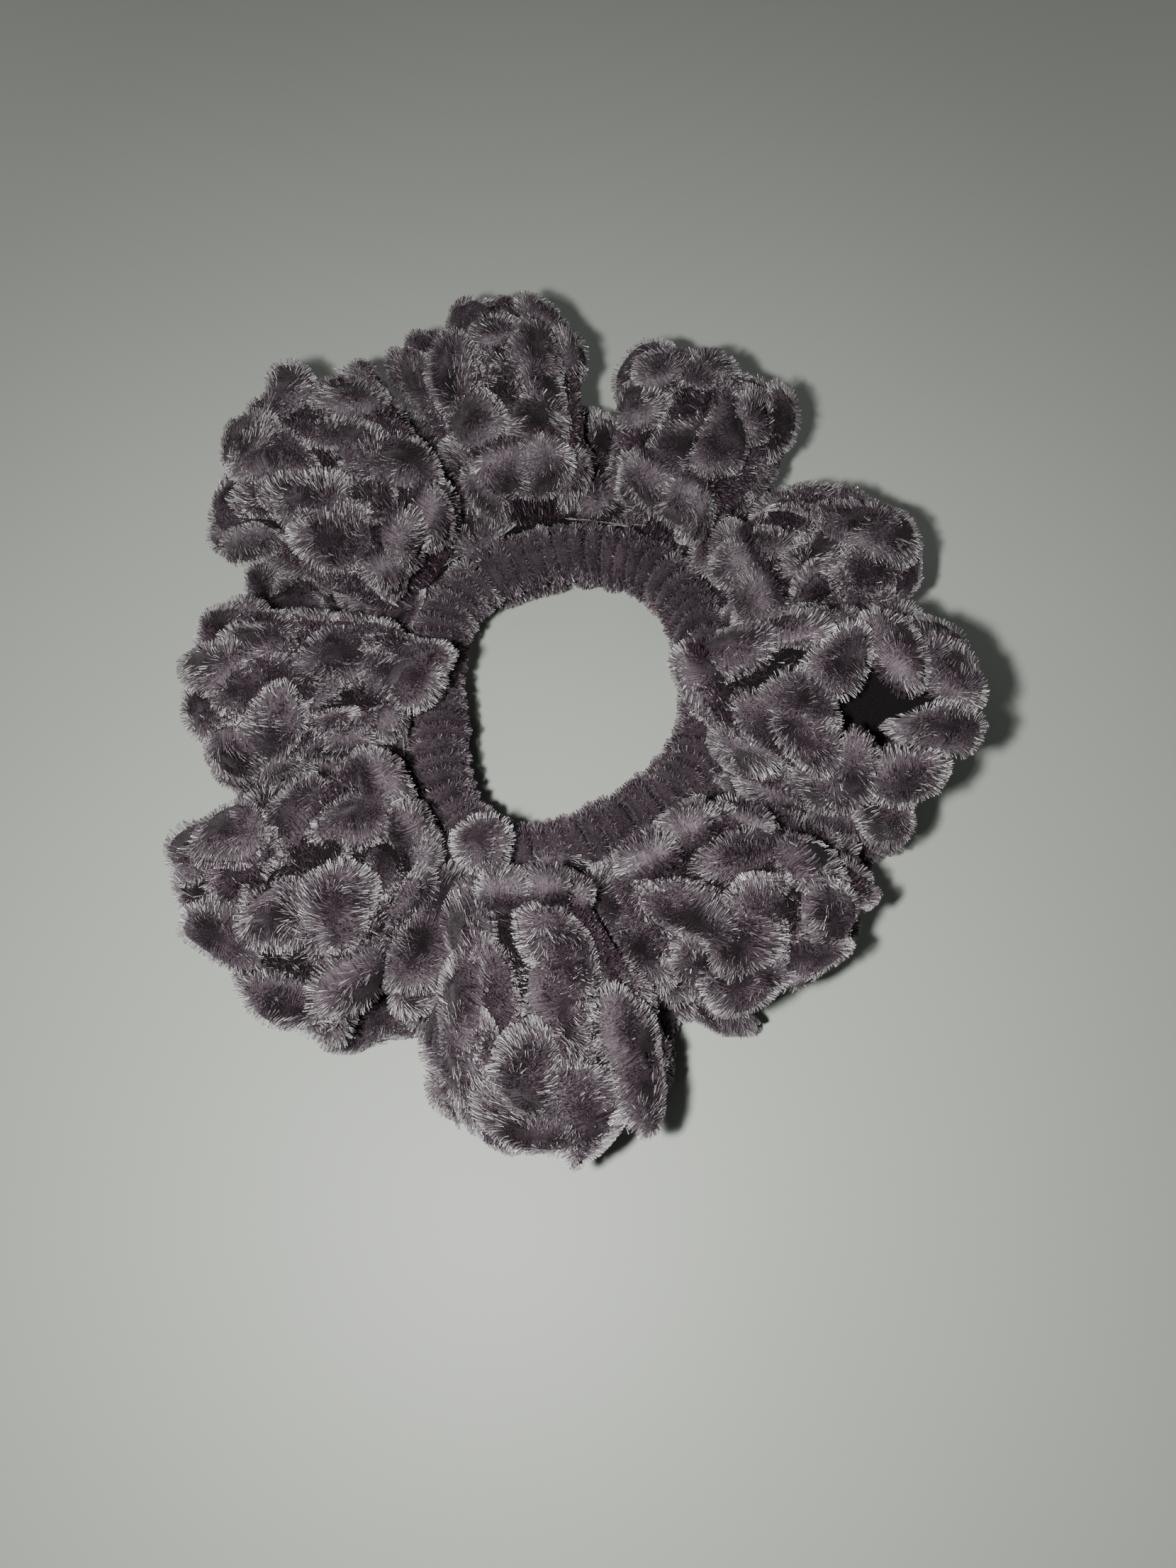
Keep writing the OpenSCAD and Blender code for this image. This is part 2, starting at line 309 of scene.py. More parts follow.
def on_ruffle(k, phi0, v0, spin, lift, side, tilt, stiff):
    """Maps a stitch's own millimetres along, across and up to the ruffle at phi0, v0.
    The yarn bends with the surface if stiff is 0, and stays straight if it is 1."""
    c, s = np.cos(spin), np.sin(spin)
    inside = np.array([min(v0, 1.0)])
    along_phi, along_v, n = slopes(k, np.array([phi0]), inside)
    step_phi, step_v = np.linalg.norm(along_phi), np.linalg.norm(along_v)
    centre = middle(k, np.array([phi0]), inside)
    deepest = 0.15 if stiff < 1 else -6.0

    def put(a, b, h):
        x, y = a * c - b * s, a * s + b * c
        height = side * np.maximum(lift + h + tilt * a, deepest)
        bent = place(k, phi0 + y / step_phi, np.maximum(v0 + x / step_v, 0.0), height)
        straight = (centre + x[:, None] * along_v / step_v + y[:, None] * along_phi / step_phi
                    + height[:, None] * n)
        return bent + (straight - bent) * stiff

    return put


def standing(point, direction, pitch, lean):
    """Maps a straight stitch that stands free at a point, its yarn along direction."""
    ahead = unit(np.array([direction[0], direction[1], pitch]))
    aside = unit(np.array([-ahead[1], ahead[0], lean]))
    up = np.cross(ahead, aside)

    def put(a, b, h):
        return point + a[:, None] * ahead + b[:, None] * aside + h[:, None] * up

    return put


def above_table(points):
    points[:, 2] = np.maximum(points[:, 2], TABLE_CLEARANCE)
    return points


def add_stitch(fab, put, length, width, thick, pile, fibre_length, side=1, tone=0.0):
    """One plump stitch of chenille yarn, and the pile that stands out of its core. The pile is combed one
    way and another over the stitch; where it lies flat it is made silvery, a painted sheen, and low on the
    stitch it is darker, a painted shade."""
    leaf = Outline(length, width)
    a, b = leaf.flat(THETA, TURN)
    crease = rng.uniform(0.0, 0.3) * np.exp(-((b - leaf.bend * a * a) / (width * 0.12)) ** 2)
    h = thick / 2 * (np.cos(THETA) + 0 * TURN) * (1 - crease)
    points = above_table(put(a.ravel(), b.ravel(), h.ravel()))
    # painted sheen and shade: the stitch's colour is lit in a band round its sides, and left dark on its
    # top and towards its foot
    rim = np.exp(-((np.degrees(THETA) - 75) / 32) ** 2) + 0 * TURN
    faces = STITCH_FACES if side > 0 else STITCH_FACES[:, ::-1]
    fab.add(points, faces, rim.ravel(), rng.uniform(0, 1), a.ravel(), TURN.repeat(RINGS, 0).ravel())
    n = int(pile * length * width / PILE_AREA)
    th = np.arccos(rng.uniform(-0.66, 0.96, n))
    tn = rng.uniform(0, 2 * np.pi, n)
    pa, pb = leaf.flat(th, tn)
    ph = thick / 2 * np.cos(th)
    core = np.clip(pa, -(length - width) * 0.45, (length - width) * 0.45)
    d = unit(np.stack([pa - core, pb - leaf.bend * pa * pa, ph * 1.25], -1))
    comb = rng.uniform(0, 6.28, 5)
    reach = rng.uniform(0.6, 1.6) * (1 - 0.75 * np.sin(th) ** 2)
    flow = comb[4] + 0.9 * np.sin(pa * 0.55 + comb[0]) + 0.8 * np.sin(pb * 0.8 + comb[1])
    lie = reach * (0.7 + 0.4 * np.sin(pa * 0.7 + comb[2]) * np.sin(pb * 0.9 + comb[3]))
    d[:, 0] += lie * np.cos(flow)
    d[:, 1] += lie * np.sin(flow)
    d = unit(d + rng.normal(0, 0.11, d.shape))
    size = fibre_length * rng.uniform(0.75, 1.08, n)
    root = put(pa - d[:, 0] * 0.35, pb - d[:, 1] * 0.35, ph - d[:, 2] * 0.35)
    tip = put(pa + d[:, 0] * size, pb + d[:, 1] * size, ph + d[:, 2] * size)
    # painted light on the fibres: flat-lying fibres lighter (painted sheen), those low towards the foot
    # darker (painted shade), plus random tone
    low = smooth((np.degrees(th) - 88) / 25)
    flat = np.hypot(d[:, 0], d[:, 1])
    shade = tone + 0.06 + 0.62 * flat - 0.55 * low + rng.uniform(-0.2, 0.2, n)
    fab.add_pile(above_table(root), above_table(tip), rng.uniform(0.09, 0.15, n), shade)


def pile_mesh(fab):
    """Every fibre as one slender triangle, turned at random about its length. Most are
    broad at the tip, as cut pile spreads, and the others run out to a point."""
    roots, tips = np.concatenate(fab.roots), np.concatenate(fab.tips)
    widths, tones = np.concatenate(fab.widths), np.concatenate(fab.tones)
    turned = (rng.uniform(0, 1, len(roots)) < 0.6)[:, None]
    broad, point = np.where(turned, tips, roots), np.where(turned, roots, tips)
    side = unit(np.cross(unit(tips - roots), rng.normal(0, 1, roots.shape)))
    half = side * widths[:, None] / 2
    points = np.stack([broad - half, broad + half, point], 1).reshape(-1, 3)
    faces = np.arange(len(points)).reshape(-1, 3)
    # the tone picks a shade of pile, painted light and random tone together; a few fibres at random get the
    # painted glint
    ids = np.digitize(tones, (0.22, 0.45, 0.68))
    ids = np.where(rng.uniform(0, 1, len(ids)) < 0.004, 4, ids)
    return points, faces, ids


# ---------------------------------------------------------------- materials
def node_tree(name):
    mat = bpy.data.materials.new(name)
    mat.use_nodes = True
    tree = mat.node_tree
    return mat, tree, tree.nodes["Principled BSDF"]


def plush(name, dark, light, sheen):
    """Velvet pile seen from its tips, in painted light: dark in the middle of a stitch and silvery towards
    its rim, a painted sheen, in streaks that run across the yarn. Where edge is lowest it goes near black,
    a painted shade."""
    mat, tree, shader = node_tree(name)
    link = tree.links.new

    def attribute(key):
        node = tree.nodes.new("ShaderNodeAttribute")
        node.attribute_name = key
        return node.outputs["Fac"]

    def noise(vector, scale, detail):
        node = tree.nodes.new("ShaderNodeTexNoise")
        node.inputs["Scale"].default_value = scale
        node.inputs["Detail"].default_value = detail
        link(vector, node.inputs["Vector"])
        return node.outputs["Fac"]

    def math(op, a, b):
        node = tree.nodes.new("ShaderNodeMath")
        node.operation = op
        for socket, value in zip(node.inputs, (a, b)):
            if isinstance(value, (int, float)):
                socket.default_value = value
            else:
                link(value, socket)
        return node.outputs[0]

    strand = tree.nodes.new("ShaderNodeCombineXYZ")
    link(math("MULTIPLY", attribute("along"), 2.2), strand.inputs["X"])
    link(math("MULTIPLY", attribute("around"), 4.0), strand.inputs["Y"])
    link(math("MULTIPLY", attribute("shade"), 40.0), strand.inputs["Z"])
    streaks = noise(strand.outputs[0], 3.0, 4.0)
    place_node = tree.nodes.new("ShaderNodeTexCoord")
    patches = noise(place_node.outputs["Object"], 260.0, 3.0)
    amount = math("ADD", math("MULTIPLY", attribute("edge"), 0.55),
                  math("MULTIPLY", math("SUBTRACT", streaks, 0.45), 1.6))
    amount = math("ADD", amount, math("MULTIPLY", math("SUBTRACT", patches, 0.5), 0.9))
    # ramp from near black (painted shade) through the dark pile to the light rim (painted sheen)
    ramp = tree.nodes.new("ShaderNodeValToRGB")
    ramp.color_ramp.elements[0].position = 0.0
    ramp.color_ramp.elements[0].color = (*[0.15 * c for c in dark], 1)
    ramp.color_ramp.elements[1].position = 0.95
    ramp.color_ramp.elements[1].color = (*light, 1)
    ramp.color_ramp.elements.new(0.12).color = (*dark, 1)
    link(amount, ramp.inputs["Fac"])
    link(ramp.outputs["Color"], shader.inputs["Base Color"])
    bump = tree.nodes.new("ShaderNodeBump")
    bump.inputs["Strength"].default_value = 0.6
    bump.inputs["Distance"].default_value = 0.0004
    link(streaks, bump.inputs["Height"])
    link(bump.outputs["Normal"], shader.inputs["Normal"])
    shader.inputs["Roughness"].default_value = 0.75
    shader.inputs["Specular IOR Level"].default_value = 0.25
    shader.inputs["Sheen Weight"].default_value = sheen
    shader.inputs["Sheen Roughness"].default_value = 0.35
    shader.inputs["Sheen Tint"].default_value = (0.80, 0.76, 0.80, 1)
    return mat


def fibre(name, colour, roughness):
    """One shade of the pile, a little uneven in its gloss."""
    mat, tree, shader = node_tree(name)
    shader.inputs["Base Color"].default_value = (*colour, 1)
    noise = tree.nodes.new("ShaderNodeTexNoise")
    noise.inputs["Scale"].default_value = 900.0
    spread = tree.nodes.new("ShaderNodeMapRange")
    spread.inputs["To Min"].default_value = roughness - 0.12
    spread.inputs["To Max"].default_value = roughness + 0.12
    tree.links.new(noise.outputs["Fac"], spread.inputs["Value"])
    tree.links.new(spread.outputs["Result"], shader.inputs["Roughness"])
    shader.inputs["Specular IOR Level"].default_value = 0.5
    return mat


def rough_solid(name, light, dark, scale, roughness, bump_mm):
    """A grained material: rubber, braided textile or the bond of the elastic."""
    mat, tree, shader = node_tree(name)
    grain = tree.nodes.new("ShaderNodeTexNoise")
    grain.inputs["Scale"].default_value = scale
    grain.inputs["Detail"].default_value = 5.0
    ramp = tree.nodes.new("ShaderNodeValToRGB")
    ramp.color_ramp.elements[0].position = 0.3
    ramp.color_ramp.elements[0].color = (*dark, 1)
    ramp.color_ramp.elements[1].position = 0.7
    ramp.color_ramp.elements[1].color = (*light, 1)
    bump = tree.nodes.new("ShaderNodeBump")
    bump.inputs["Distance"].default_value = bump_mm * MM
    tree.links.new(grain.outputs["Fac"], ramp.inputs["Fac"])
    tree.links.new(ramp.outputs["Color"], shader.inputs["Base Color"])
    tree.links.new(grain.outputs["Fac"], bump.inputs["Height"])
    tree.links.new(bump.outputs["Normal"], shader.inputs["Normal"])
    shader.inputs["Roughness"].default_value = roughness
    return mat


braided_jacket = rough_solid("braided_jacket", (0.10, 0.07, 0.09), (0.035, 0.022, 0.03), 1500.0, 0.8, 0.1)
core_rubber = rough_solid("core_rubber", (0.42, 0.36, 0.27), (0.30, 0.25, 0.18), 400.0, 0.6, 0.05)
bond_glue = rough_solid("bond_glue", (0.06, 0.05, 0.05), (0.03, 0.025, 0.028), 700.0, 0.35, 0.05)
plush_yarn = rough_solid("plush_yarn", (0.13, 0.10, 0.12), (0.03, 0.018, 0.026), 900.0, 0.8, 0.3)
# their light colour gives the rims' painted sheen, their dark one with its near-black foot the painted
# shade between stitches
plush_ruffle = plush("plush_ruffle", (0.022, 0.011, 0.018), (0.20, 0.165, 0.19), 0.1)
plush_cover = plush("plush_cover", (0.018, 0.010, 0.016), (0.11, 0.08, 0.10), 0.2)
# the pile's one mauve in steps of painted light, random tone mixed in: the darkest stands for painted
# shade, plum and lilac between, the silvery one for painted sheen and the near-white one for a painted
# glint
pile_shades = [
    fibre("pile_dark", (0.060, 0.037, 0.051), 0.42),
    fibre("pile_plum", (0.150, 0.116, 0.139), 0.40),
    fibre("pile_lilac", (0.292, 0.262, 0.281), 0.36),
    fibre("pile_painted_sheen", (0.60, 0.582, 0.590), 0.30),
    fibre("pile_glint", (0.82, 0.80, 0.82), 0.16),
]


# ---------------------------------------------------------------- building the ruffle
BASE_SINK = 3.4           # how far the backing lies under the fabric's surface
SIDE = 118                # folds end and valleys begin at this phi
BACKING_PILE = 26000      # fibres on the backing of a whole fold
BEYOND = 400              # past any phi
ROW_STEP = 7.8            # from one row of stitches to the next
COLUMN_STEP = 6.9         # from one stitch to the next in a row
# fibres on a stitch of PILE_AREA square millimetres, and their length
OUTER_PILE = (1250, 0.95)
INNER_PILE = (420, 1.0)
FILLING_PILE = (1150, 0.95)
ROSETTE_PILE = (1400, 0.9)
# height of the yarn in the valley before each fold
FILL_TOPS = (20, 18, 17, 20, 12, 11, 22, 21, 19)
# the stitches in a valley: v, share of that height, width
FILL_ROWS = ((0.08, 0.86, 6.4), (0.36, 1.0, 7.6), (0.62, 1.0, 8.4), (0.84, 0.84, 8.6), (0.9, 0.42, 8.8))


def backing(k, phi0, phi1, columns):
    """The closed sheet behind the stitches, from phi0 to phi1 of fold k."""
    rows = 30
    phi = np.linspace(phi0, phi1, columns)[None, :] + np.zeros((rows, 1))
    v = np.linspace(0, 1, rows)[:, None] + np.zeros((1, columns))
    half = np.maximum(thickness(v) / 2 - BASE_SINK, 0.3)
    top = place(k, phi, v, half, True)
    under = place(k, phi, v, -half, True)
    points = above_table(np.concatenate([top.reshape(-1, 3), under.reshape(-1, 3)]))
    count = rows * columns
    faces = grid_faces(rows, columns)
    rim = []
    for r in (0, rows - 1):
        for c in range(columns - 1):
            a, b = r * columns + c, r * columns + c + 1
            rim.append((a, a + count, b + count, b) if r else (a, b, b + count, a + count))
    for c in (0, columns - 1):
        for r in range(rows - 1):
            a, b = r * columns + c, (r + 1) * columns + c
            rim.append((a, b, b + count, a + count) if c else (a, a + count, b + count, b))
    faces = np.concatenate([faces[:, ::-1], faces + count, np.array(rim)])
    return points, faces


def add_backing(fab, k, phi0, phi1, columns):
    """The backing, near black as painted shade, with short dark pile on it, also painted shade, which the
    open fold's hollow goes without, so the hollow shows the near-black backing as its painted shade.
    """
    points, faces = backing(k, phi0, phi1, columns)
    # edge -1.5 takes the plush ramp to near black: painted shade between the stitches
    fab.add(points, faces, np.full(len(points), -1.5), 0.5, points[:, 0], points[:, 1])
    n = int(BACKING_PILE * (phi1 - phi0) / 360)
    phi, v = rng.uniform(phi0, phi1, n), rng.uniform(0.02, 1, n)
    half = np.maximum(thickness(v) / 2 - BASE_SINK, 0.3)
    root = place(k, phi, v, half, True)
    tip = place(k, phi + rng.normal(0, 2, n), v + rng.normal(0, 0.015, n), half + 1.1, True)
    # the hollow keeps no pile, so its near-black backing paints its shade
    keep = (from_pit(phi, v) > 1.5) | (k != OPEN_FOLD)
    widths, tones = rng.uniform(0.10, 0.18, keep.sum()), rng.uniform(-0.3, 0.27, keep.sum())
    fab.add_pile(above_table(root[keep]), above_table(tip[keep]), widths, tones)


def lengths(points):
    """Distance run along a line of points, up to each of them."""
    steps = np.linalg.norm(np.diff(points, axis=0), axis=1)
    return np.concatenate([[0], np.cumsum(steps)])


def even_spots(k, row_step, column_step, first):
    """Places spread evenly over fold k: row, column, phi and v of each."""
    v = np.linspace(0, 1, 101)
    run = lengths(middle(k, 0 * v, v))
    rows = int(round(run[-1] / row_step))
    phi = np.linspace(-180, 180, 181)
    for i in range(rows + 1):
        share = (i + first) / (rows + first)
        v0 = np.interp(share * run[-1], run, v)
        across_run = lengths(middle(k, phi, v0 + 0 * phi))
        count = max(4, int(round(across_run[-1] / column_step)))
        for j in range(count):
            where = (j + 0.25 + 0.5 * (i % 2)) / count
            yield i, j, np.interp(where * across_run[-1], across_run, phi), v0


def fold_stitches(k):
    """Every stitch of fold k: phi, v, spin, length, width, thickness, lift, side, tilt
    and stiffness, as on_ruffle and add_stitch take them."""
    made = []
    turn, sign, longer = HABITS[k - 1]
    for i, j, phi, v in even_spots(k, ROW_STEP, COLUMN_STEP, 0.35):
        phi, v = phi + rng.normal(0, 3), min(v + rng.normal(0, 0.02), 0.97)
        spin = (sign if j % 2 else 1) * turn * rng.uniform(0.6, 1.4) + rng.normal(0, 0.12)
        if v > 0.9 and rng.uniform() < 0.6:
            spin += np.pi / 2
        length, width = rng.uniform(10.5, 14.5) * longer, rng.uniform(7.0, 8.6)
        thick = rng.uniform(6.4, 7.6)
        top = thickness(min(v, 1)) / 2 - 1.0 + (0.9 if (i + j) % 2 else -1.0) + rng.normal(0, 0.35)
        if k == OPEN_FOLD and from_pit(phi, v) < 2.1:
            continue
        if v < 0.26 and abs(phi) < 85:
            continue
        tilt = rng.choice((-1, 1)) * rng.uniform(0.08, 0.28)
        made.append((phi, v, spin, length, width, thick, top - thick / 2, 1, tilt, 0.45))
    for phi in (-62, -22, 20, 60):      # the fold's inner end, over the ring
        made.append((phi + rng.normal(0, 4), 0.16, rng.normal(0, 0.4), rng.uniform(9.5, 12.0),
                     rng.uniform(7.2, 8.4), 6.4, rng.uniform(-0.6, 0.2), 1, rng.uniform(-0.05, 0.1), 1.0))
    if k == OPEN_FOLD:                  # round the rim of the hollow
        for t in np.linspace(0, 2 * np.pi, 9)[:-1]:
            phi = PIT_AT[0] + 1.5 * PIT_PHI * np.cos(t)
            v = min(PIT_AT[1] + 1.5 * PIT_V * np.sin(t), 0.96)
            made.append((phi, v, t + rng.uniform(1.2, 1.9), 10.5, 6.4, 6.4, 0.8, 1, 0.0, 1.0))
    spots = [middle(k, np.array([row[0]]), np.array([row[1]]))[0] for row in made]
    for _ in range(500):                # wherever the others leave the backing bare
        phi, v = rng.uniform(-180, 180), rng.uniform(0.13, 0.97)
        spot = middle(k, np.array([phi]), np.array([v]))[0]
        in_hollow = k == OPEN_FOLD and from_pit(phi, v) < 1.9
        if not in_hollow and np.linalg.norm(np.array(spots) - spot, axis=1).min() > 5.5:
            spots.append(spot)
            made.append((phi, v, rng.uniform(-1.5, 1.5), 10.5, 7.8, 6.4, thickness(v) / 2 - 4.7, 1,
                         rng.uniform(-0.1, 0.1), 0.45))
    for _, _, phi, v in even_spots(k, 10.5, 9.0, 0.9):      # the inner side
        if k == OPEN_FOLD and from_pit(phi, v) < 2.6:
            continue
        if v > 0.25 and abs(phi) < 165:
            made.append((phi, v, rng.uniform(-0.8, 0.8), 12.5, 8.2, 3.4,
                         thickness(min(v, 1)) / 2 - 2.6, -1, 0.0, 0.0))
    return made


STITCHES = {k: fold_stitches(k) for k in range(1, SECTIONS + 1)}


def add_filling(fab, k):
    """Stitches that stand in the valley before fold k, between its neighbours."""
    inner, outer = plan(k, np.array([-1.0, -1.0]), np.array([0.0, 1.0]), 0.0)
    direction = unit(outer - inner)
    for v, share, width in FILL_ROWS:
        thick = rng.uniform(6.4, 7.6)
        spot = inner + (outer - inner) * v + rng.normal(0, 0.5, 2)
        point = np.array([*spot, max(FILL_TOPS[k - 1] * share - thick / 2, 4.4)])
        heading = direction + rng.normal(0, 0.22, 2)
        put = standing(point, heading, rng.normal(-0.05, 0.12), rng.normal(0, 0.25))
        length = rng.uniform(12, 14.5) - 3.5 * (v > 0.8)
        add_stitch(fab, put, length, width, thick, *FILLING_PILE, 1, rng.normal(0, 0.05))


def add_fold(fab, k, low, high):
    """The stitches of fold k with phi from low to high."""
    for phi, v, spin, length, width, thick, lift, side, tilt, stiff in STITCHES[k]:
        if low <= phi < high:
            put = on_ruffle(k, phi, v, spin, lift, side, tilt, stiff)
            pile = OUTER_PILE if side > 0 else INNER_PILE
            add_stitch(fab, put, length, width, thick, *pile, side, rng.normal(0, 0.05))
    if k == ROSETTE_FOLD and low < 0 < high:
        put = standing(np.array(ROSETTE_AT), np.array([0.5, -1.0]), 0.1, 0.1)
        add_stitch(fab, put, 7.6, 7.0, 6.4, *ROSETTE_PILE, 1, 0.12)


def finish_piece(name, fab, material, ride=None, replaced=()):
    """Makes the plush and pile objects of a piece, and hangs them on their body where ride names one."""
    points, faces = np.concatenate(fab.points), np.concatenate(fab.faces)
    values = {"edge": np.concatenate(fab.edge), "shade": np.concatenate(fab.shade),
              "along": np.concatenate(fab.along), "around": np.concatenate(fab.round)}
    made = [new_object(name, points, faces, materials=[material], values=values)]
    points, faces, ids = pile_mesh(fab)
    made.append(new_object(name + "_pile", points, faces, ids, pile_shades, False))
    for obj in made:
        if ride:
            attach(obj, ride)
        else:
            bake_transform(obj)
    if replaced:
        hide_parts(*replaced)


def ring_mid(k):
    """The elastic's centre line in the middle of section k, in metres."""
    a = FOLDS[(k - 1) % SECTIONS][0]
    p = CENTRE + polar(np.array(a), ring_r(np.array(a)))
    return Vector((p[0] * MM, p[1] * MM, RING_Z * MM))


def neighbours(k):
    """The joined pair of bodies on either side of the valley after section k."""
    nxt = k % SECTIONS + 1
    if nxt == JOIN_VALLEY:
        return f"section_{k}", "yarn_join"
    return f"section_{k}", f"section_{nxt}"


for k in range(1, SECTIONS + 1):
    fabric = Fabric()
    add_backing(fabric, k, -SIDE - 4, SIDE + 4, 44)
    add_fold(fabric, k, -SIDE, SIDE)
    finish_piece(f"fold_{k}", fabric, plush_ruffle, ride=f"section_{k}",
                 replaced=(f"ruffle_first_round_{k}", f"ruffle_edge_round_{k}"))

for k in range(1, SECTIONS + 1):
    nxt = k % SECTIONS + 1
    fabric = Fabric()
    add_backing(fabric, k, SIDE, 180, 16)
    add_backing(fabric, nxt, -180, -SIDE, 16)
    add_fold(fabric, k, SIDE, BEYOND)
    add_fold(fabric, nxt, -BEYOND, -SIDE)
    add_filling(fabric, nxt)
    away = (ring_mid(nxt) - ring_mid(k)).normalized() * 9 * MM
    mid = CENTRE + polar(np.array(VALLEYS[nxt - 1][1]), 40)
    mid = Vector((mid[0] * MM, mid[1] * MM, RING_Z * MM))
    finish_piece(f"valley_{k}_{nxt}", fabric, plush_ruffle)


# ---------------------------------------------------------------- the ring
def ring_point(a, turn, r):
    """Points of a tube round the elastic, turn in radians from outwards to up."""
    a = np.asarray(a, float)
    p = polar(a, ring_r(a))
    ahead = polar(a + 1, ring_r(a + 1)) - polar(a - 1, ring_r(a - 1))
    t = unit(ahead)
    out = np.stack([t[..., 1], -t[..., 0]], -1)
    xy = CENTRE + p + out * (r * np.cos(turn))[..., None]
    return np.concatenate([xy, (RING_Z + r * np.sin(turn))[..., None]], -1)


HOOP_R = COVER_R - 1.75   # radius of a cover stitch's hoop round the elastic
HOOP_YARN = 1.0           # radius of its yarn
HOOP_STEP = 2.3           # from one cover stitch to the next
HOOP_PILE = 950           # fibres on each


def add_hoop(fab, a0, span, pile):
    """One single crochet stitch: a hoop of yarn round the elastic, a little slanted."""
    hoop, sides = 26, 10
    psi = np.linspace(0, 2 * np.pi, hoop, endpoint=False)[:, None]
    w = np.linspace(0, 2 * np.pi, sides, endpoint=False)[None, :]
    slant = span * rng.uniform(0.1, 0.5)
    fat = rng.uniform(0.85, 1.2)
    bow, start = rng.uniform(0.05, 0.25), rng.uniform(0, 6.28)
    half = span * 0.52

    def put(psi, w, out):
        a = a0 + (half + span * out / 2.4) * np.cos(w) + slant * np.sin(psi + start / 9)
        r = HOOP_R + (HOOP_YARN * fat + out) * np.sin(w) + bow * np.sin(3 * psi + start)
        return ring_point(a, psi + 0 * w, r)

    points = put(psi, w, 0.0).reshape(-1, 3)
    faces = grid_faces(hoop + 1, sides, wrap=True) % (hoop * sides)
    # painted shade: the hoop is darker on its sides, in the grooves where it meets the next hoop
    fab.add(points, faces[:, ::-1], (0.8 - 0.6 * np.abs(np.cos(w)) + 0 * psi).ravel(),
            rng.uniform(0, 1), (psi * 4 + 0 * w).ravel(), (w + 0 * psi).ravel())
    psi = rng.uniform(0, 2 * np.pi, pile)
    w = np.arccos(rng.uniform(-0.97, 0.97, pile))
    size = rng.uniform(0.6, 0.95, pile) * (1 - 0.45 * np.cos(w) ** 2)
    root = put(psi, w, -0.3)
    tip = put(psi + rng.normal(0, 0.035, pile), w + rng.normal(0, 0.12, pile), size)
    # the pile is also darker towards those grooves, painted shade, with random tone
    tone = 0.36 - 0.5 * np.cos(w) ** 2 + rng.uniform(-0.22, 0.22, pile) + rng.normal(0, 0.06)
    fab.add_pile(root, tip, rng.uniform(0.11, 0.18, pile), tone)


def tube(a0, a1, rings, sides, radius):
    """Points and quads of a tube along the elastic's centre line."""
    a = np.linspace(a0, a1, rings)[:, None]
    psi = np.linspace(0, 2 * np.pi, sides, endpoint=False)[None, :]
    points = ring_point(a + 0 * psi, psi + 0 * a, radius(a, psi))
    return points.reshape(-1, 3), grid_faces(rings, sides, wrap=True)[:, ::-1]


def braid(a, psi):
    """Radius of the braided jacket: strands wound both ways, over and under."""
    one, two = 6 * psi + 0.75 * a, 6 * psi - 0.75 * a
    return JACKET_R - 0.12 + 0.12 * np.sin(one) * np.sin(two)


def rubber_core(a, psi):
    """Radius of the rubber core, faintly ribbed along its length."""
    return CORE_R - 0.06 + 0.03 * np.sin(5 * psi) + 0 * a


def next_turn(a, before):
    """The azimuth a, turned to be the next one after before."""
    return a if a > before else a + 360


for k in range(1, SECTIONS + 1):
    nxt = k % SECTIONS + 1
    a0 = FOLDS[k - 1][0]
    a1 = next_turn(FOLDS[nxt - 1][0], a0)
    length = np.linalg.norm(np.array(ring_mid(nxt) - ring_mid(k))) / MM
    count = int(round(length * 1.03 / HOOP_STEP))
    step = (ring_mid(nxt) - ring_mid(k)).normalized() * 1.6 * MM
    span = (*neighbours(k), ring_mid(k) + step, ring_mid(nxt) - step)
    fabric = Fabric()
    for i in range(count):
        add_hoop(fabric, a0 + (a1 - a0) * (i + 0.5) / count, (a1 - a0) / count, HOOP_PILE)
    replaced = [f"cover_stitches_{k}"] + (["join_stitch"] if nxt == JOIN_VALLEY else [])
    finish_piece(f"cover_{k}_{nxt}", fabric, plush_cover, replaced=replaced)
    for name, sides, shape, material, slot in (
            ("elastic_jacket", 24, braid, braided_jacket, "elastic_braid"),
            ("elastic_core", 14, rubber_core, core_rubber, "elastic_rubber")):
        points, faces = tube(a0, a1, 34, sides, shape)
        obj = new_object(f"{name}_{k}_{nxt}", points, faces, materials=[material])
        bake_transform(obj)
        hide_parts(f"{name}_{k}")


# ---------------------------------------------------------------- knots and tails
def grow_pile(node, count, fibre_length):
    """Pile on a CAD piece of yarn, standing out of its surface."""
    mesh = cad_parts[node].data
    mesh.calc_loop_triangles()
    corners = np.array([[mesh.vertices[i].co[:] for i in t.vertices] for t in mesh.loop_triangles]) / MM
    normal = np.cross(corners[:, 1] - corners[:, 0], corners[:, 2] - corners[:, 0])
    area = np.linalg.norm(normal, axis=1)
    pick = rng.choice(len(corners), count, p=area / area.sum())
    u, w = np.sqrt(rng.uniform(0, 1, count)), rng.uniform(0, 1, count)
    weights = np.stack([1 - u, u * (1 - w), u * w], 1)[:, :, None]
    root = (corners[pick] * weights).sum(1)
    out = unit(unit(normal[pick]) + rng.normal(0, 0.25, (count, 3)))
    tip = root + out * fibre_length * rng.uniform(0.7, 1.05, (count, 1))
    fab = Fabric()
    widths, tones = rng.uniform(0.11, 0.18, count), rng.uniform(0, 0.7, count)
    fab.add_pile(above_table(root), above_table(tip), widths, tones)
    points, faces, ids = pile_mesh(fab)
    obj = new_object(node + "_pile", points, faces, ids, pile_shades, False)
    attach(obj, "yarn_join")


def dress(node, material):
    """Gives a CAD piece its material."""
    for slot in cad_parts[node].material_slots:
        slot.material = material


for node in ("start_knot", "fasten_off_knot", "start_tail", "end_tail"):
    dress(node, plush_yarn)
    grow_pile(node, 2500, 0.9)
dress("elastic_bond", bond_glue)


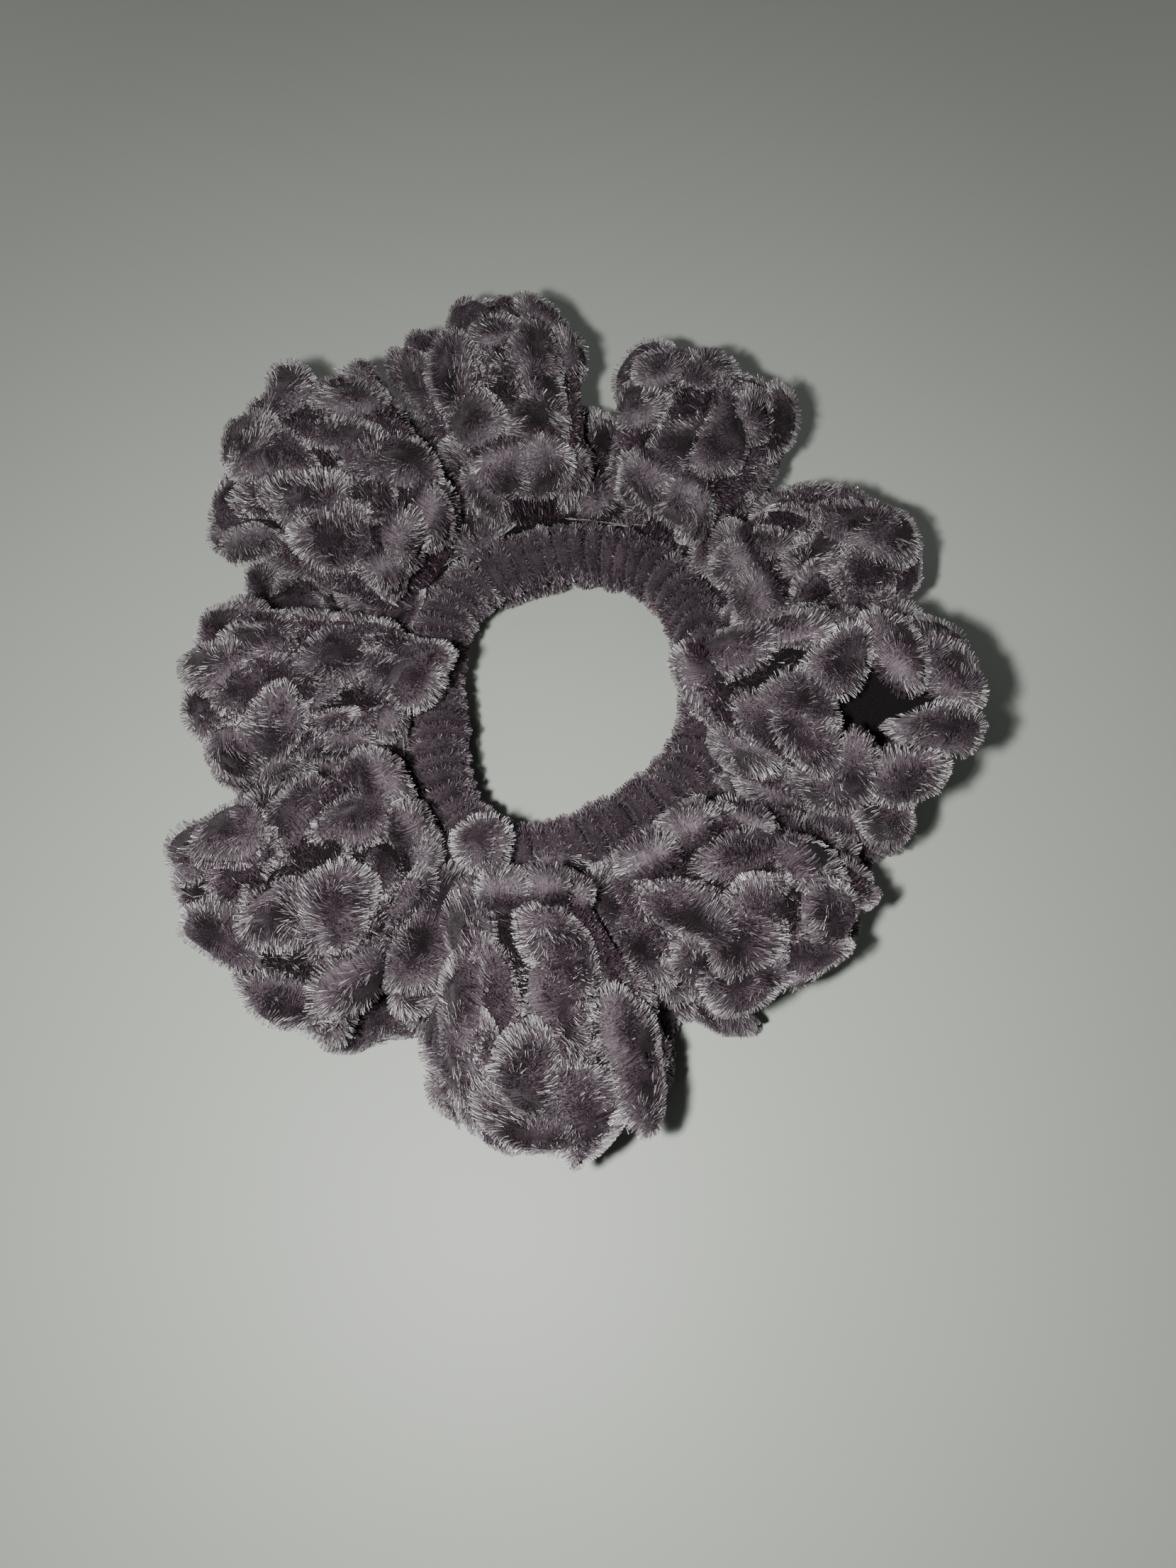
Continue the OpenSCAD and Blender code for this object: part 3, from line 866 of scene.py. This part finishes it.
# ---------------------------------------------------------------- floor, light, camera
def stage_material():
    """The pale table, faintly mottled."""
    mat, tree, shader = node_tree("table")
    noise = tree.nodes.new("ShaderNodeTexNoise")
    noise.inputs["Scale"].default_value = 30.0
    noise.inputs["Detail"].default_value = 6.0
    ramp = tree.nodes.new("ShaderNodeValToRGB")
    ramp.color_ramp.elements[0].color = (0.46, 0.495, 0.45, 1)
    ramp.color_ramp.elements[1].color = (0.49, 0.525, 0.48, 1)
    tree.links.new(noise.outputs["Fac"], ramp.inputs["Fac"])
    tree.links.new(ramp.outputs["Color"], shader.inputs["Base Color"])
    shader.inputs["Roughness"].default_value = 0.5
    return mat


floor = new_object("table", np.array([(-900, -900, 0), (900, -900, 0), (900, 900, 0), (-900, 900, 0)]),
                   [(0, 1, 2, 3)], materials=[stage_material()])


def area_light(name, place_mm, target_mm, size_mm, power, colour):
    data = bpy.data.lights.new(name, "AREA")
    data.shape = "DISK"
    data.size = size_mm * MM
    data.energy = power
    data.color = colour
    obj = bpy.data.objects.new(name, data)
    obj.location = Vector(place_mm) * MM
    aim = Vector(target_mm) - Vector(place_mm)
    obj.rotation_euler = aim.to_track_quat("-Z", "Y").to_euler()
    bpy.context.scene.collection.objects.link(obj)


CAMERA = (3.6, -69.6, 169.4)
area_light("flash", (-18, -73, 170), (-5, -20, 10), 8, 0.42, (1.0, 0.995, 0.965))
area_light("fill", (-120, 100, 420), (0, 0, 0), 400, 0.05, (0.95, 0.98, 1.0))
area_light("back_left", (-850, 850, 380), (0, 0, 20), 700, 2.2, (1.0, 0.985, 0.97))
area_light("back_right", (850, 700, 380), (0, 0, 20), 700, 1.6, (1.0, 0.985, 0.97))

world = bpy.data.worlds.new("world")
world.use_nodes = True
world.node_tree.nodes["Background"].inputs["Color"].default_value = (0.8, 0.85, 0.85, 1)
world.node_tree.nodes["Background"].inputs["Strength"].default_value = 0.03
bpy.context.scene.world = world

camera_data = bpy.data.cameras.new("camera")
camera_data.sensor_width = 36.0
camera_data.lens = 36.0 * 1661 / 2212
camera_data.clip_start = 0.01
camera = bpy.data.objects.new("camera", camera_data)
camera.location = Vector(CAMERA) * MM
camera.rotation_euler = (np.radians(20), 0, 0)
bpy.context.scene.collection.objects.link(camera)
bpy.context.scene.camera = camera
